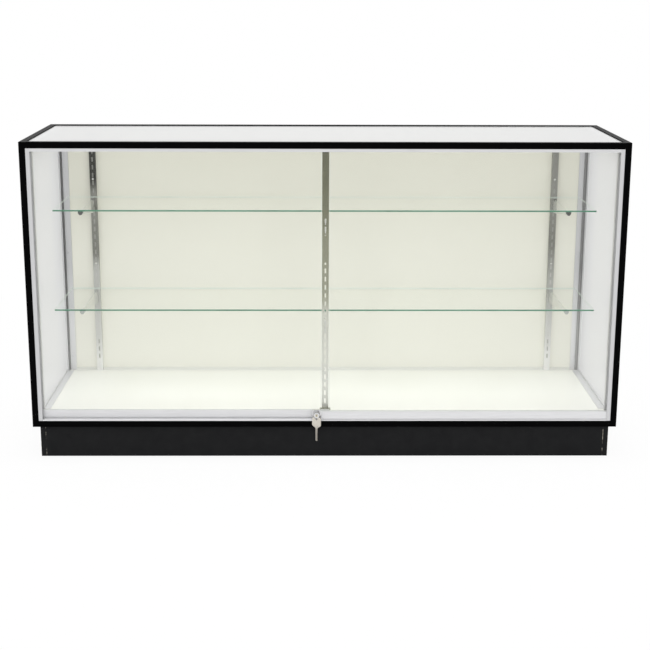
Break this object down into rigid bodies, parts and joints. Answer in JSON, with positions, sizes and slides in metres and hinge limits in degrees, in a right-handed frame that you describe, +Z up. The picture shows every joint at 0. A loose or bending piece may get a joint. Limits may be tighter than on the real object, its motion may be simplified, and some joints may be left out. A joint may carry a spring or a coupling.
{
  "type": "retail display case",
  "caption": "Free-standing glass retail display case with by-passing sliding glass doors, a lock, glass shelves on slotted standards, and a dark boarded base.",
  "frame": {"origin": "on the floor, under the middle of the frame, on the underside of the base's stretcher", "axes": "+X along the width to the right as seen from the doors, +Y from the doors to the back, +Z up"},
  "size_m": [1.778, 0.53, 0.965],
  "materials": {
    "kick_laminate": "black laminate",
    "raw_board": "bare board",
    "frame_black": "satin black",
    "deck_white": "white melamine",
    "panel_cream": "cream melamine",
    "satin_aluminium": "satin anodised",
    "cast_corner": "as cast",
    "clear_glass": "polished",
    "shelf_glass": "polished edges",
    "black_rubber": "matt",
    "door_gasket": "grey vinyl",
    "roller_nylon": "moulded",
    "plain_steel": "drawn",
    "zinc_plate": "bright zinc plate",
    "lock_chrome": "satin chrome",
    "plug_brass": "turned",
    "key_nickel": "nickel plate"
  },
  "bodies": {
    "case": {"kick_front": "kick_laminate", "kick_rear": "kick_laminate", "kick_left": "kick_laminate", "kick_right": "kick_laminate", "kick_stretcher": "raw_board", "kick_corner_blocks": "raw_board", "front_bottom_rail": "frame_black", "front_top_rail": "frame_black", "rear_bottom_rail": "frame_black", "rear_top_rail": "frame_black", "left_bottom_rail": "frame_black", "left_top_rail": "frame_black", "right_bottom_rail": "frame_black", "right_top_rail": "frame_black", "front_left_post": "frame_black", "front_right_post": "frame_black", "rear_left_post": "frame_black", "rear_right_post": "frame_black", "corner_connectors": "cast_corner", "deck": "deck_white", "back_panel": "panel_cream", "left_deck_bead": "satin_aluminium", "right_deck_bead": "satin_aluminium", "rear_deck_bead": "satin_aluminium", "front_ledge": "satin_aluminium", "rear_ledge": "satin_aluminium", "side_ledges": "satin_aluminium", "left_jamb": "satin_aluminium", "right_jamb": "satin_aluminium", "left_rear_channel": "satin_aluminium", "right_rear_channel": "satin_aluminium", "lower_track": "satin_aluminium", "upper_track": "satin_aluminium", "left_end_glass": "clear_glass", "right_end_glass": "clear_glass", "top_glass": "clear_glass", "glass_setting_strips": "black_rubber", "shelf_cushions": "black_rubber", "wall_standards": "zinc_plate", "centre_post": "zinc_plate", "upper_brackets": "zinc_plate", "lower_brackets": "zinc_plate", "upper_shelf": "shelf_glass", "lower_shelf": "shelf_glass"},
    "left_door": {"left_door_glass": "clear_glass", "left_door_gasket": "door_gasket", "left_door_shoe": "satin_aluminium", "left_door_axles": "plain_steel"},
    "right_door": {"right_door_glass": "clear_glass", "right_door_gasket": "door_gasket", "right_door_shoe": "satin_aluminium", "right_door_axles": "plain_steel", "lock_case": "lock_chrome"},
    "left_roller_a": {"left_roller_a": "roller_nylon"},
    "left_roller_b": {"left_roller_b": "roller_nylon"},
    "right_roller_a": {"right_roller_a": "roller_nylon"},
    "right_roller_b": {"right_roller_b": "roller_nylon"},
    "lock_plug": {"lock_plug": "plug_brass"},
    "spare_key": {"key_ring": "plain_steel", "spare_key": "key_nickel"}
  },
  "joints": [
    {"name": "left_door_slide", "type": "slide", "parent": "case", "child": "left_door", "axis": [1, 0, 0], "range_m": [0, 0.84]},
    {"name": "left_roller_a_spin", "type": "hinge", "parent": "left_door", "child": "left_roller_a", "pos_m": [-0.057, -0.2305, 0.1281], "axis": [0, 1, 0], "range_deg": [-10, 8770]},
    {"name": "left_roller_b_spin", "type": "hinge", "parent": "left_door", "child": "left_roller_b", "pos_m": [-0.792, -0.2305, 0.1281], "axis": [0, 1, 0], "range_deg": [-10, 8770]},
    {"name": "right_door_slide", "type": "slide", "parent": "case", "child": "right_door", "axis": [1, 0, 0], "range_m": [-0.815, 0]},
    {"name": "right_roller_a_spin", "type": "hinge", "parent": "right_door", "child": "right_roller_a", "pos_m": [0.057, -0.245, 0.1281], "axis": [0, 1, 0], "range_deg": [-8510, 10]},
    {"name": "right_roller_b_spin", "type": "hinge", "parent": "right_door", "child": "right_roller_b", "pos_m": [0.792, -0.245, 0.1281], "axis": [0, 1, 0], "range_deg": [-8510, 10]},
    {"name": "key_turn", "type": "hinge", "parent": "right_door", "child": "lock_plug", "pos_m": [-0.026, -0.262, 0.143], "axis": [0, 1, 0], "range_deg": [0, 90]},
    {"name": "key_swing", "type": "hinge", "parent": "right_door", "child": "spare_key", "pos_m": [-0.026, -0.262, 0.143], "axis": [0, 1, 0], "range_deg": [-90, 90]}
  ],
  "couplings": [
    {"joint": "left_roller_a_spin", "follows": "left_door_slide", "rad_per_m": 181.82},
    {"joint": "left_roller_b_spin", "follows": "left_door_slide", "rad_per_m": 181.82},
    {"joint": "right_roller_a_spin", "follows": "right_door_slide", "rad_per_m": 181.82},
    {"joint": "right_roller_b_spin", "follows": "right_door_slide", "rad_per_m": 181.82}
  ]
}
